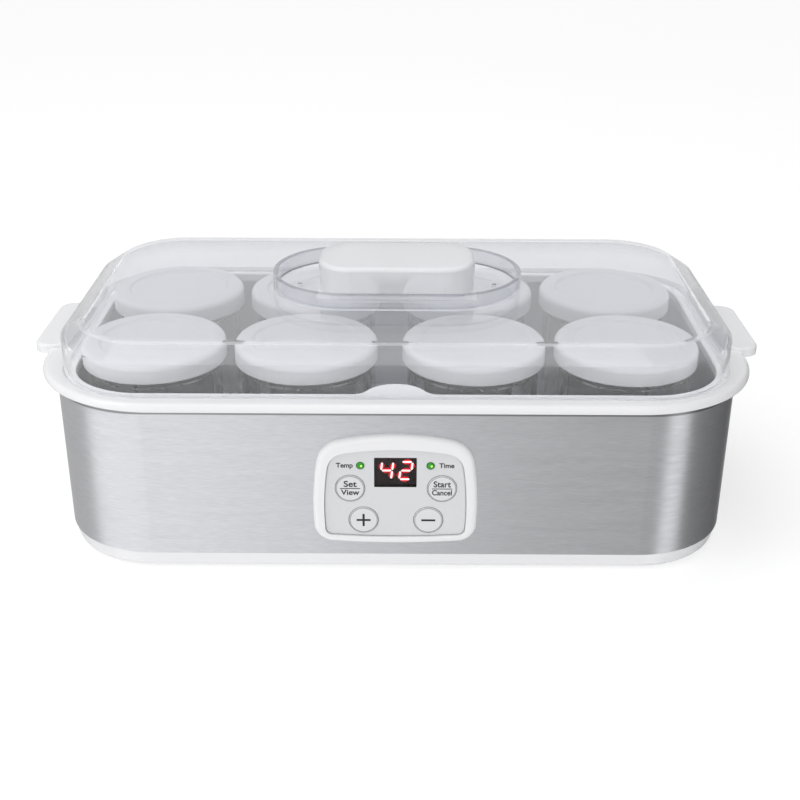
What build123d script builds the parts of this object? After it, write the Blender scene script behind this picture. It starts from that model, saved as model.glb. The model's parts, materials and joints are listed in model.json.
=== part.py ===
from build123d import *
import os
from math import cos, atan2

# Yogurt maker for eight jars. Millimetres, +Z up, +X to the user's right; the control panel
# faces -Y. The origin is on the table, below the middle of the body.

os.makedirs("parts", exist_ok=True)

# ---------------------------------------------------------------- driving dimensions
# body: half width, half depth and corner radius of the steel band's outer face
BODY_X, BODY_Y, BODY_R = 159.5, 89.2, 46.0
BAND_BOTTOM, BAND_TOP, BAND_WALL = 8.7, 82.2, 0.5
PANEL_WALL = 2.2                               # moulded wall behind the steel
SHELL_IN = BAND_WALL + PANEL_WALL              # inner face of that wall, measured from the steel
THROUGH = 8.0                                  # holes in the walls are cut this deep
FOOT_HEIGHT, FOOT_R, FOOT_SINK = 1.0, 6.5, 1.2
BASE_DRAFT, BASE_FLOOR = 2.1, 2.4
RIB_OUT, RIB_IN, RIB_HEIGHT = 3.1, 5.1, 4.0    # the base's locating rib, measured from the steel
SPLIT_Z = 13.0                                 # base bosses meet the shell's bosses here

# rim and tank
RIM_X, RIM_Y, RIM_R = 168.2, 93.4, 60.0
RIM_BOTTOM, RIM_TOP = 82.6, 86.6
RIM_ROUND, RIM_UNDER_ROUND, RIM_INNER_ROUND = 2.6, 1.1, 0.8
SKIRT_DROP, SKIRT_WALL = 6.5, 1.6              # skirt under the rim that drops inside the wall
TANK_X, TANK_Y, TANK_R = 150.3, 79.9, 35.2
TANK_FLOOR, TANK_WALL, FLANGE_WIDTH = 19.5, 0.6, 3.8
SEAL_IN, SEAL_OUT = 0.8, 3.0                   # seal between flange and rim, outwards from the opening
NOSE_R, NOSE_FILLET, NOSE_OUT = 15.4, 7.0, 4.0  # nose in the middle of the opening's front edge
EAR_FROM_X, EAR_X, EAR_Y, EAR_TOP, EAR_THICK, EAR_R, EAR_ROUND = 159.0, 175.9, 29.8, 88.5, 4.5, 7.8, 1.3
GROOVE_DEPTH, GROOVE_PLAY = 0.8, 0.5

# lid: half sizes of its upright wall, then the shoulder, the ring wall and the handle
LID_X, LID_Y, LID_R = 156.0, 85.7, 41.5
LID_WALL = 2.4
LID_BOTTOM = RIM_TOP - GROOVE_DEPTH + 0.3
LID_SHOULDER, LID_CREASE, LID_SLOPE_IN = 103.0, 110.0, 10.75
RING_X, RING_Y, RING_TOP, RING_WALL = 61.3, 37.7, 117.9, 2.2
HANDLE_X, HANDLE_Y, HANDLE_R, HANDLE_TOP = 38.2, 21.6, 16.0, 125.2
VENT_X, VENT_R = 48.2, 1.3
CREASE_ROUND, RING_ROUND, HANDLE_ROUND = 1.2, 0.7, 2.2

# jars and caps
JAR_COLUMNS = (-115.4, -42.9, 36.9, 109.4)
JAR_ROWS = (-36.0, 36.0)
JAR_R, JAR_WALL, JAR_BOTTOM, JAR_TOP = 31.2, 2.6, 19.8, 91.4
JAR_FLOOR, JAR_PUNT = 4.0, 1.0
JAR_SHOULDER, NECK_R, THREAD_R = 82.0, 29.8, 31.3
BEAD_R, BEAD_DROPS = 0.9, (2.0, 4.2)           # thread beads, this far below the jar's lip
JAR_HEEL_ROUND, JAR_INNER_ROUND, JAR_LIP_ROUND = 3.0, 3.5, 1.1
CAP_R, CAP_WALL, CAP_BOTTOM, CAP_TOP = 34.0, 1.7, 86.0, 94.9
CAP_EDGE_R, CAP_RECESS_R, CAP_RECESS, CAP_PLAY = 3.0, 26.0, 1.2, 0.4

# control panel: distances outwards from the steel's outer face, places as (x, z)
BEZEL_FRONT, LEDGE_FRONT, OVERLAY_FRONT = 3.2, 1.2, 2.2
BEZEL_ROUND = 2.4
# groove round the printed face, play in the hole in the steel, wall of the bezel's frame, width of its ledge
OVERLAY_GAP, CUTOUT_GAP, FRAME_WALL, LEDGE_WIDE = 0.4, 0.3, 2.7, 1.4
BOARD_FRONT, BOARD_THICK = -4.7, 1.6
BUTTON_R, BUTTON_HOLE_R, BUTTON_FLANGE_R = 6.6, 6.9, 7.6
BUTTON_FRONT, FLANGE_FRONT, FLANGE_BACK, STEM_END = 2.55, 0.9, 0.1, -1.0
BUTTON_TRAVEL = 0.8
POCKET_BACK = FLANGE_BACK - BUTTON_TRAVEL - 0.4  # the bezel is cut away behind each key down to here
BUTTONS = {
    "set_button": (-20.5, 44.7),
    "start_button": (21.1, 44.7),
    "plus_button": (-14.5, 28.3),
    "minus_button": (15.1, 28.3),
}
SWITCH_SIZE, SWITCH_TOP, PLUNGER_TOP = 6.0, -2.4, -2.1
LEDS = {"temp_led": (-15.8, 56.3), "time_led": (15.8, 56.3)}
LED_R = 1.65
WINDOW_X, WINDOW_LOW, WINDOW_HIGH = 9.6, 45.3, 60.3
BOARD_X, BOARD_LOW, BOARD_HIGH = 34.0, 18.6, 64.6
BOARD_BOSSES = ((-30.0, 24.5), (30.0, 24.5), (-28.5, 59.5), (28.5, 59.5))
BOARD_BOSS_R = 2.9
BOARD_SCREW_R, BOARD_SCREW_HEAD_R, BOARD_SCREW_HEAD, BOARD_SCREW_END = 0.95, 2.2, 1.1, -1.6
WINDOW_MIDDLE, WINDOW_TALL = (WINDOW_LOW + WINDOW_HIGH) / 2, WINDOW_HIGH - WINDOW_LOW
WINDOW_PLAY, WINDOW_CORNER, WINDOW_THICK = 0.05, 0.4, 0.8
PLUNGER_R, STEM_R = 1.7, 2.0

# underneath: feet, case screws, vents and the plate with the ratings
FOOT_PLACES = ((-122, -56), (122, -56), (-122, 56), (122, 56))
FOOT_ROUND = 0.5
SCREW_PLACES = ((-140, -68), (0, -79), (140, -68), (-140, 68), (0, 79), (140, 68))
SCREW_R, SCREW_HEAD_R, SCREW_HEAD, SCREW_SUNK, SCREW_BITE = 1.5, 2.9, 1.8, 0.6, 4.4
CROSS_HALF, CROSS_NARROW, CROSS_DEEP = 1.9, 0.35, 1.5
BASE_BOSS_R, SHELL_BOSS_R, SHELL_BOSS_HEIGHT = 5.2, 7.8, 5.4
VENT_SLOT_X, VENT_SLOT_COUNT, VENT_SLOT_STEP, VENT_SLOT_LONG, VENT_SLOT_WIDE = -88.0, 5, 8.0, 40.0, 3.0
PLATE_X, PLATE_HALF_X, PLATE_HALF_Y, PLATE_THICK = 80.0, 24.0, 15.0, 0.25
SEAM = 0.4                                     # where the steel strip's ends meet at the back

# cord gland: place, radii, and distances outwards from the steel's outer face
GLAND_X, GLAND_Z, GLAND_R, GLAND_BORE_R = 106.0, 14.6, 4.6, 3.2
GLAND_HOLE_PLAY, GLAND_FLANGE, GLAND_INNER, GLAND_OUTER = 0.1, 1.6, -5.6, 3.0
GLAND_NUT_R, GLAND_NUT_THICK = 6.5, 2.6

# under the tank
MAT_X, MAT_Y, MAT_R, MAT_THICK, PAD_THICK, PAD_IN = 138.0, 64.0, 26.0, 1.5, 2.0, 3.0
SENSOR_PLACE, SENSOR_HEAD_R, SENSOR_STEM_R, SENSOR_HEAD, SENSOR_HOLE_R = (-62.0, 0.0), 3.0, 2.0, 2.0, 5.0
CLIP_HALF_X, CLIP_HALF_Y, CLIP_THICK = 13.0, 4.0, 0.6
FUSE_PLACE, FUSE_HALF, FUSE_R = (-62.0, 26.0), 5.0, 0.95
LEAD_HOLE = (-92.0, 26.0)

# power board: its posts, then parts as centre x, centre y, half width, half depth and height
POWER_BOARD_Z, POWER_BOARD_TOP = 6.0, 7.6
POWER_BOARD_HALF_X, POWER_BOARD_HALF_Y = 50.0, 30.0
POST_PLACES = ((-34, -24), (54, -24), (-34, 24), (54, 24))
POST_R, POST_BORE_R, POST_SCREW_R, POST_SCREW_HEAD_R, POST_SCREW_HEAD = 3.0, 1.2, 1.1, 2.6, 1.6
TRANSFORMER = (42, 8, 8, 9, 7.0)
RELAY = (-10, -18, 8, 5.5, 6.8)
TERMINALS = (-28, 0, 5, 14, 6.4)
TERMINAL_STEP, TERMINAL_COUNT, TERMINAL_R, TERMINAL_UP = 6.0, 4, 1.5, 2.9
CAPACITOR_FROM, CAPACITOR_Y, CAPACITOR_R, CAPACITOR_LONG = 8.0, 16.0, 3.3, 14.0
MAINS_FUSE_X, MAINS_FUSE_FROM = 20.0, -14.0
FUSE_CAP_R, FUSE_CAP_LONG, FUSE_GLASS_R, FUSE_GLASS_LONG = 2.6, 5.0, 2.3, 10.0
BUZZER_PLACE, BUZZER_R, BUZZER_HOLE_R, BUZZER_HEIGHT = (46, -14), 6.0, 1.0, 5.2
RIBBON_X, RIBBON_WIDE, RIBBON_THICK, RIBBON_BEND = 14.0, 12.0, 0.8, 4.0
RIBBON_START_Y, RIBBON_END_Z = -27.0, 27.0
CHIP_PLACE, CHIP_WIDE, CHIP_TALL, CHIP_THICK = (-10, 40), 13.0, 7.6, 1.3


# ---------------------------------------------------------------- shared helpers
def save(piece, name):
    """Label a finished piece and write it to its own file."""
    piece.label = name
    export_step(piece, f"parts/{name}.step")


def rounded(half_x, half_y, corner, mode=Mode.ADD):
    """A rounded rectangle given by its half sizes."""
    return RectangleRounded(2 * half_x, 2 * half_y, corner, mode=mode)


def body_outline(z, inset=0.0):
    """The steel band's outline at a height, moved inwards by an amount."""
    with BuildSketch(Plane.XY.offset(z)) as outline:
        rounded(BODY_X - inset, BODY_Y - inset, BODY_R - inset)
    return outline.sketch


def body_ring(z, height, outer_inset, inner_inset):
    """A closed wall that follows the body, as a separate solid."""
    outer = extrude(body_outline(z, outer_inset), height, mode=Mode.PRIVATE)
    inner = extrude(body_outline(z, inner_inset), height, mode=Mode.PRIVATE)
    return outer - inner


def tank_outline(z, grow=0.0):
    """The opening's outline, with the nose in its front edge, grown outwards by an amount."""
    with BuildSketch(Plane.XY.offset(z)) as outline:
        rounded(TANK_X, TANK_Y, TANK_R)
        with Locations((0, -TANK_Y - NOSE_OUT)):
            Circle(NOSE_R, mode=Mode.SUBTRACT)
        corners = outline.vertices().filter_by(lambda v: abs(v.X) < NOSE_R + 1)
        fillet(corners, NOSE_FILLET)
        if grow:
            offset(amount=grow)
    return outline.sketch


def panel_outline(bottom, side, top, z_corner, z_low, z_shoulder, z_high, r_low, r_high, grow=0.0):
    """A panel face with bowed sides and an arched top, symmetric about X = 0."""
    bottom, side, top = bottom + grow, side + grow, top + grow
    z_corner, z_low = z_corner - grow, z_low - grow
    z_shoulder, z_high = z_shoulder + grow, z_high + grow
    z_mid = (z_corner + z_shoulder) / 2
    with BuildSketch() as outline:
        with BuildLine():
            ThreePointArc((-bottom, z_corner), (0, z_low), (bottom, z_corner))
            ThreePointArc((bottom, z_corner), (side, z_mid), (top, z_shoulder))
            ThreePointArc((top, z_shoulder), (0, z_high), (-top, z_shoulder))
            ThreePointArc((-top, z_shoulder), (-side, z_mid), (-bottom, z_corner))
        make_face()
        low = outline.vertices().filter_by(lambda v: v.Y < z_mid)
        fillet(low, r_low + grow)
        high = outline.vertices().filter_by(lambda v: v.Y > z_shoulder - 1)
        fillet(high, r_high + grow)
    return outline.sketch


def front_plane(outwards):
    """An upright plane that faces the user, this far in front of the steel's outer face."""
    return Plane.XZ.offset(BODY_Y + outwards)


def front_slab(outline, back, front):
    """A flat outline in (x, z), thickened from one distance in front of the steel to another."""
    with BuildSketch(front_plane(back)) as face:
        add(outline)
    return extrude(face.sketch, front - back, mode=Mode.PRIVATE)


def front_discs(places, radius, back, front):
    """Round bosses or holes at (x, z) places on the panel."""
    with BuildSketch(front_plane(back)) as face:
        with Locations(*places):
            Circle(radius)
    return extrude(face.sketch, front - back, mode=Mode.PRIVATE)


def back_discs(radius, inner, outer):
    """A round piece on the cord gland's axis, between two distances outwards from the steel."""
    with BuildSketch(Plane.XZ.offset(-BODY_Y - inner)) as face:
        with Locations((GLAND_X, GLAND_Z)):
            Circle(radius)
    return extrude(face.sketch, inner - outer, mode=Mode.PRIVATE)


def discs(places, radius, low, high):
    """Upright round bosses or holes at (x, y) places."""
    with BuildSketch(Plane.XY.offset(low)) as face:
        with Locations(*places):
            Circle(radius)
    return extrude(face.sketch, high - low, mode=Mode.PRIVATE)


def rod(x_from, y, z, radius, length):
    """A round rod that lies along X."""
    with BuildSketch(Plane.YZ.offset(x_from)) as face:
        with Locations((y, z)):
            Circle(radius)
    return extrude(face.sketch, length, mode=Mode.PRIVATE)


def block(x, y, half_x, half_y, low, high, corner=0.6):
    """An upright block with rounded corners, centred at (x, y)."""
    with BuildSketch(Plane.XY.offset(low)) as face:
        with Locations((x, y)):
            rounded(half_x, half_y, corner)
    return extrude(face.sketch, high - low, mode=Mode.PRIVATE)


def on_board(x, y, half_x, half_y, height, corner=0.6):
    """A block that stands on the power board."""
    return block(x, y, half_x, half_y, POWER_BOARD_TOP, POWER_BOARD_TOP + height, corner)


# outlines for panel_outline: the visible frame, the printed face and the hole in the steel
BEZEL = (36.5, 37.3, 33.9, 17.6, 15.8, 66.2, 71.3, 9.0, 13.0)
OVERLAY = (31.4, 31.8, 29.3, 21.2, 20.0, 61.2, 64.3, 3.0, 9.0)
CUTOUT = (34.6, 35.4, 32.2, 20.0, 18.4, 64.0, 69.4, 7.0, 11.0)

# ---------------------------------------------------------------- base and what is under it
with BuildPart() as base_shell:
    with BuildSketch(Plane.XY.offset(FOOT_HEIGHT)):
        rounded(BODY_X - BASE_DRAFT, BODY_Y - BASE_DRAFT, BODY_R - BASE_DRAFT)
    with BuildSketch(Plane.XY.offset(BAND_BOTTOM)):
        rounded(BODY_X - 0.2, BODY_Y - 0.2, BODY_R - 0.2)
    loft(ruled=True)
    fillet(base_shell.faces().sort_by(Axis.Z)[0].edges(), 1.8)
    extrude(body_outline(FOOT_HEIGHT + BASE_FLOOR, RIB_IN), BAND_BOTTOM, mode=Mode.SUBTRACT)
    # rib that centres the wall above it, interrupted at the cord gland
    add(body_ring(BAND_BOTTOM, RIB_HEIGHT, RIB_OUT, RIB_IN))
    add(block(GLAND_X, BODY_Y - 4, 9, 6, BAND_BOTTOM, SPLIT_Z + 1), mode=Mode.SUBTRACT)
    floor_top = FOOT_HEIGHT + BASE_FLOOR
    add(discs(SCREW_PLACES, BASE_BOSS_R, floor_top, SPLIT_Z))
    add(discs(POST_PLACES, POST_R, floor_top, POWER_BOARD_Z))
    add(discs(SCREW_PLACES, SCREW_HEAD_R + 0.3, FOOT_HEIGHT, floor_top), mode=Mode.SUBTRACT)
    add(discs(SCREW_PLACES, SCREW_R + 0.2, FOOT_HEIGHT, SPLIT_Z), mode=Mode.SUBTRACT)
    add(discs(POST_PLACES, POST_BORE_R, floor_top, POWER_BOARD_Z), mode=Mode.SUBTRACT)
    add(discs(FOOT_PLACES, FOOT_R, FOOT_HEIGHT, FOOT_HEIGHT + FOOT_SINK), mode=Mode.SUBTRACT)
    # ventilation slots beside the power board
    with BuildSketch(Plane.XY.offset(FOOT_HEIGHT)):
        with Locations((VENT_SLOT_X, 0)):
            with GridLocations(VENT_SLOT_STEP, 0, VENT_SLOT_COUNT, 1):
                SlotOverall(VENT_SLOT_LONG, VENT_SLOT_WIDE, rotation=90)
    extrude(amount=BASE_FLOOR, mode=Mode.SUBTRACT)
save(base_shell.part, "base_shell")

with BuildPart() as rubber_feet:
    add(discs(FOOT_PLACES, FOOT_R, 0, FOOT_HEIGHT + FOOT_SINK))
    fillet(rubber_feet.faces().group_by(Axis.Z)[0].edges(), FOOT_ROUND)
save(rubber_feet.part, "rubber_feet")

with BuildPart() as rating_plate:
    add(block(PLATE_X, 0, PLATE_HALF_X, PLATE_HALF_Y, FOOT_HEIGHT - PLATE_THICK, FOOT_HEIGHT, corner=3))
save(rating_plate.part, "rating_plate")

with BuildPart() as case_screws:
    head_low = FOOT_HEIGHT + SCREW_SUNK
    head_high = head_low + SCREW_HEAD
    add(discs(SCREW_PLACES, SCREW_HEAD_R, head_low, head_high))
    add(discs(SCREW_PLACES, SCREW_R, head_high, SPLIT_Z + SCREW_BITE))
    # cross recess in each head
    with BuildSketch(Plane.XY.offset(FOOT_HEIGHT)):
        with Locations(*SCREW_PLACES):
            rounded(CROSS_HALF, CROSS_NARROW, 0.2)
            rounded(CROSS_NARROW, CROSS_HALF, 0.2)
    extrude(amount=CROSS_DEEP, mode=Mode.SUBTRACT)
save(case_screws.part, "case_screws")

# ---------------------------------------------------------------- upright walls
with BuildPart() as steel_band:
    add(body_ring(BAND_BOTTOM, BAND_TOP - BAND_BOTTOM, 0.0, BAND_WALL))
    add(front_slab(panel_outline(*CUTOUT), -THROUGH, 1), mode=Mode.SUBTRACT)
    add(back_discs(GLAND_R + GLAND_HOLE_PLAY, -THROUGH, 1), mode=Mode.SUBTRACT)
    add(block(0, BODY_Y, SEAM / 2, 1, 0, RIM_TOP, corner=SEAM / 4), mode=Mode.SUBTRACT)
save(steel_band.part, "steel_band")

# the moulded wall behind the steel, as a front and a back half that meet at the two ends
for half, facing in (("front", -1), ("back", 1)):
    bosses = [place for place in SCREW_PLACES if place[1] * facing > 0]
    with BuildPart() as wall:
        add(body_ring(BAND_BOTTOM, BAND_TOP - BAND_BOTTOM, BAND_WALL, SHELL_IN))
        add(block(0, -facing * BODY_Y, 2 * BODY_X, BODY_Y, 0, RIM_TOP), mode=Mode.SUBTRACT)
        add(discs(bosses, SHELL_BOSS_R, SPLIT_Z, SPLIT_Z + SHELL_BOSS_HEIGHT))
        add(discs(bosses, SCREW_R + 0.1, SPLIT_Z, SPLIT_Z + SCREW_BITE + 0.2), mode=Mode.SUBTRACT)
        if half == "front":
            add(front_slab(panel_outline(*CUTOUT), -THROUGH, 1), mode=Mode.SUBTRACT)
        else:
            add(back_discs(GLAND_R + GLAND_HOLE_PLAY, -THROUGH, 1), mode=Mode.SUBTRACT)
    save(wall.part, f"housing_{half}")

def tank_prism(low, high, grow=0.0):
    """The opening's outline as an upright block, grown outwards by an amount."""
    return extrude(tank_outline(low, grow), high - low, mode=Mode.PRIVATE)


with BuildPart() as rim:
    with BuildSketch(Plane.XY.offset(RIM_BOTTOM)):
        rounded(RIM_X, RIM_Y, RIM_R)
    extrude(amount=RIM_TOP - RIM_BOTTOM)
    fillet(rim.faces().sort_by(Axis.Z)[-1].edges(), RIM_ROUND)
    fillet(rim.faces().sort_by(Axis.Z)[0].edges(), RIM_UNDER_ROUND)
    # carrying ears at the two ends
    for side in (-1, 1):
        ear_middle = (EAR_FROM_X + EAR_X) / 2
        add(block(side * ear_middle, 0, EAR_X - ear_middle, EAR_Y, EAR_TOP - EAR_THICK, EAR_TOP, EAR_R))
    fillet(rim.faces().group_by(Axis.Z)[-1].edges(), EAR_ROUND)
    add(tank_prism(RIM_BOTTOM - 1, RIM_TOP + 1), mode=Mode.SUBTRACT)
    inner_edges = rim.edges().filter_by(lambda e: abs(e.center().Z - RIM_TOP) < 0.01)
    fillet(inner_edges, RIM_INNER_ROUND)
    # shallow groove in which the lid stands
    with BuildSketch(Plane.XY.offset(RIM_TOP - GROOVE_DEPTH)):
        rounded(LID_X + GROOVE_PLAY, LID_Y + GROOVE_PLAY, LID_R + GROOVE_PLAY)
        inset = LID_WALL + GROOVE_PLAY
        rounded(LID_X - inset, LID_Y - inset, LID_R - inset, mode=Mode.SUBTRACT)
    extrude(amount=GROOVE_DEPTH, mode=Mode.SUBTRACT)
    add(body_ring(RIM_BOTTOM - SKIRT_DROP, SKIRT_DROP + 0.5, SHELL_IN + 0.1, SHELL_IN + 0.1 + SKIRT_WALL))
save(rim.part, "rim")

# ---------------------------------------------------------------- heated tank and its underside
SEAL_BOTTOM = RIM_BOTTOM - TANK_WALL
FLANGE_BOTTOM = SEAL_BOTTOM - TANK_WALL

with BuildPart() as heating_tank:
    add(tank_prism(TANK_FLOOR - TANK_WALL, SEAL_BOTTOM, TANK_WALL))
    add(tank_prism(FLANGE_BOTTOM, SEAL_BOTTOM, FLANGE_WIDTH))
    add(tank_prism(TANK_FLOOR, RIM_TOP), mode=Mode.SUBTRACT)
save(heating_tank.part, "heating_tank")

with BuildPart() as tank_seal:
    add(tank_prism(SEAL_BOTTOM, RIM_BOTTOM, SEAL_OUT))
    add(tank_prism(SEAL_BOTTOM, RIM_BOTTOM, SEAL_IN), mode=Mode.SUBTRACT)
save(tank_seal.part, "tank_seal")

MAT_TOP = TANK_FLOOR - TANK_WALL
MAT_BOTTOM = MAT_TOP - MAT_THICK
PAD_BOTTOM = MAT_BOTTOM - PAD_THICK

with BuildPart() as heater_mat:
    add(block(0, 0, MAT_X, MAT_Y, MAT_BOTTOM, MAT_TOP, MAT_R))
    add(discs([SENSOR_PLACE], SENSOR_HOLE_R, MAT_BOTTOM, MAT_TOP), mode=Mode.SUBTRACT)
save(heater_mat.part, "heater_mat")

with BuildPart() as insulation_pad:
    add(block(0, 0, MAT_X - PAD_IN, MAT_Y - PAD_IN, PAD_BOTTOM, MAT_BOTTOM, MAT_R - PAD_IN))
    add(discs([SENSOR_PLACE, LEAD_HOLE], SENSOR_HOLE_R, PAD_BOTTOM, MAT_BOTTOM), mode=Mode.SUBTRACT)
    add(block(*FUSE_PLACE, FUSE_HALF + 2, FUSE_R + 0.65, PAD_BOTTOM, MAT_BOTTOM), mode=Mode.SUBTRACT)
save(insulation_pad.part, "insulation_pad")

with BuildPart() as temperature_sensor:
    add(discs([SENSOR_PLACE], SENSOR_HEAD_R, MAT_TOP - SENSOR_HEAD, MAT_TOP))
    add(discs([SENSOR_PLACE], SENSOR_STEM_R, SPLIT_Z, MAT_TOP - SENSOR_HEAD))
save(temperature_sensor.part, "temperature_sensor")

with BuildPart() as sensor_clip:
    add(block(*SENSOR_PLACE, CLIP_HALF_X, CLIP_HALF_Y, PAD_BOTTOM - CLIP_THICK, PAD_BOTTOM, corner=1.5))
    add(discs([SENSOR_PLACE], SENSOR_STEM_R, PAD_BOTTOM - 1, PAD_BOTTOM), mode=Mode.SUBTRACT)
save(sensor_clip.part, "sensor_clip")

with BuildPart() as thermal_fuse:
    add(rod(FUSE_PLACE[0] - FUSE_HALF, FUSE_PLACE[1], MAT_BOTTOM - FUSE_R - 0.05, FUSE_R, 2 * FUSE_HALF))
save(thermal_fuse.part, "thermal_fuse")

# ---------------------------------------------------------------- power board in the base
BOARD_MIDDLE_X = (POST_PLACES[0][0] + POST_PLACES[1][0]) / 2

with BuildPart() as power_board:
    with BuildSketch(Plane.XY.offset(POWER_BOARD_Z)):
        with Locations((BOARD_MIDDLE_X, 0)):
            rounded(POWER_BOARD_HALF_X, POWER_BOARD_HALF_Y, 2)
        with Locations(*POST_PLACES):
            Circle(POST_BORE_R + 0.2, mode=Mode.SUBTRACT)
    extrude(amount=POWER_BOARD_TOP - POWER_BOARD_Z)
save(power_board.part, "power_board")

with BuildPart() as board_screws:
    add(discs(POST_PLACES, POST_SCREW_HEAD_R, POWER_BOARD_TOP, POWER_BOARD_TOP + POST_SCREW_HEAD))
    add(discs(POST_PLACES, POST_SCREW_R, FOOT_HEIGHT + BASE_FLOOR + 0.1, POWER_BOARD_TOP))
save(board_screws.part, "board_screws")

with BuildPart() as transformer:
    add(on_board(*TRANSFORMER, corner=1))
    fillet(transformer.faces().sort_by(Axis.Z)[-1].edges(), 0.8)
save(transformer.part, "transformer")

with BuildPart() as relay:
    add(on_board(*RELAY))
save(relay.part, "relay")

with BuildPart() as filter_capacitor:
    add(rod(CAPACITOR_FROM, CAPACITOR_Y, POWER_BOARD_TOP + CAPACITOR_R, CAPACITOR_R, CAPACITOR_LONG))
    fillet(filter_capacitor.faces().sort_by(Axis.X)[-1].edges(), 0.6)
save(filter_capacitor.part, "filter_capacitor")

TERMINAL_X = TERMINALS[0] - TERMINALS[2]
LEAD_Z = POWER_BOARD_TOP + TERMINAL_UP
with BuildPart() as terminal_block:
    add(on_board(*TERMINALS))
    with BuildSketch(Plane.YZ.offset(TERMINAL_X)):
        with Locations((0, LEAD_Z)):
            with GridLocations(TERMINAL_STEP, 0, TERMINAL_COUNT, 1):
                Circle(TERMINAL_R)
    extrude(amount=TERMINALS[2], mode=Mode.SUBTRACT)
save(terminal_block.part, "terminal_block")

glass_from = MAINS_FUSE_FROM + FUSE_CAP_LONG
cap_from = glass_from + FUSE_GLASS_LONG
with BuildPart() as mains_fuse:
    for y, radius, length in (
        (MAINS_FUSE_FROM, FUSE_CAP_R, FUSE_CAP_LONG),
        (glass_from, FUSE_GLASS_R, FUSE_GLASS_LONG),
        (cap_from, FUSE_CAP_R, FUSE_CAP_LONG),
    ):
        with BuildSketch(Plane.XZ.offset(-y)):
            with Locations((MAINS_FUSE_X, POWER_BOARD_TOP + FUSE_CAP_R)):
                Circle(radius)
        extrude(amount=-length)
save(mains_fuse.part, "mains_fuse")

with BuildPart() as buzzer:
    buzzer_top = POWER_BOARD_TOP + BUZZER_HEIGHT
    add(discs([BUZZER_PLACE], BUZZER_R, POWER_BOARD_TOP, buzzer_top))
    add(discs([BUZZER_PLACE], BUZZER_HOLE_R, POWER_BOARD_TOP + 2, buzzer_top), mode=Mode.SUBTRACT)
save(buzzer.part, "buzzer")


def lead(x, y_top, z_top, x_turn, x_end, y_end, radius, bend):
    """A round wire: down from under the tank, along above the board, then across to its terminal."""
    with BuildPart() as wire:
        with BuildLine() as path:
            FilletPolyline(
                (x, y_top, z_top),
                (x, y_top, LEAD_Z),
                (x_turn, y_top, LEAD_Z),
                (x_end, y_end, LEAD_Z),
                (TERMINAL_X, y_end, LEAD_Z),
                radius=bend,
            )
        with BuildSketch(Plane(path.line @ 0, z_dir=path.line % 0)):
            Circle(radius)
        sweep()
    return wire.part


with BuildPart() as heater_leads:
    for y_top, y_end in ((24, 3), (28, 9)):
        add(lead(LEAD_HOLE[0], y_top, MAT_BOTTOM, -58, -44, y_end, radius=1.0, bend=3.0))
save(heater_leads.part, "heater_leads")

with BuildPart() as sensor_leads:
    for y_top, y_end in ((1, -3), (-1, -9)):
        add(lead(SENSOR_PLACE[0], y_top, SPLIT_Z, -48, -40, y_end, radius=0.6, bend=2.0))
save(sensor_leads.part, "sensor_leads")

# flat cable: from the power board forwards, then up the back of the control board
RIBBON_Y = BOARD_THICK - BOARD_FRONT - BODY_Y
with BuildPart() as ribbon_cable:
    with BuildSketch(Plane.YZ.offset(RIBBON_X)) as profile:
        with BuildLine():
            Polyline(
                (RIBBON_START_Y, POWER_BOARD_TOP),
                (RIBBON_Y, POWER_BOARD_TOP),
                (RIBBON_Y, RIBBON_END_Z),
                (RIBBON_Y + RIBBON_THICK, RIBBON_END_Z),
                (RIBBON_Y + RIBBON_THICK, POWER_BOARD_TOP + RIBBON_THICK),
                (RIBBON_START_Y, POWER_BOARD_TOP + RIBBON_THICK),
                close=True,
            )
        make_face()
        outer = profile.vertices().group_by(Axis.Y)[0].sort_by(Axis.X)[0]
        fillet(outer, RIBBON_BEND)
        inner = profile.vertices().group_by(Axis.Y)[1].sort_by(Axis.X)[0]
        fillet(inner, RIBBON_BEND - RIBBON_THICK)
    extrude(amount=RIBBON_WIDE)
save(ribbon_cable.part, "ribbon_cable")

with BuildPart() as cord_gland:
    add(back_discs(GLAND_R, GLAND_INNER, GLAND_OUTER))
    add(back_discs(GLAND_R + GLAND_FLANGE, 0, GLAND_FLANGE))
    # nut against the inner face of the wall
    with BuildSketch(Plane.XZ.offset(SHELL_IN - BODY_Y)):
        with Locations((GLAND_X, GLAND_Z)):
            RegularPolygon(GLAND_NUT_R, 6)
    extrude(amount=GLAND_NUT_THICK)
    add(back_discs(GLAND_BORE_R, GLAND_INNER - 1, GLAND_OUTER + 1), mode=Mode.SUBTRACT)
    fillet(cord_gland.faces().sort_by(Axis.Y)[-1].outer_wire().edges(), 0.6)
save(cord_gland.part, "cord_gland")

# ---------------------------------------------------------------- control panel
with BuildPart() as panel_bezel:
    add(front_slab(panel_outline(*BEZEL), 0, BEZEL_FRONT))
    fillet(panel_bezel.faces().sort_by(Axis.Y)[0].edges(), BEZEL_ROUND)
    # frame that passes through the steel and the wall behind it
    add(front_slab(panel_outline(*CUTOUT, grow=-CUTOUT_GAP), BOARD_FRONT, 0))
    add(front_slab(panel_outline(*CUTOUT, grow=-CUTOUT_GAP - FRAME_WALL), BOARD_FRONT, 0), mode=Mode.SUBTRACT)
    add(front_slab(panel_outline(*OVERLAY, grow=OVERLAY_GAP), LEDGE_FRONT, BEZEL_FRONT), mode=Mode.SUBTRACT)
    add(front_slab(panel_outline(*OVERLAY, grow=-LEDGE_WIDE), 0, LEDGE_FRONT), mode=Mode.SUBTRACT)
    add(front_discs(BUTTONS.values(), BUTTON_FLANGE_R + 0.4, POCKET_BACK, LEDGE_FRONT), mode=Mode.SUBTRACT)
    add(front_discs(BOARD_BOSSES, BOARD_BOSS_R, BOARD_FRONT, LEDGE_FRONT / 2))
    add(front_discs(BOARD_BOSSES, BOARD_SCREW_R + 0.05, BOARD_FRONT, -1), mode=Mode.SUBTRACT)
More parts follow.
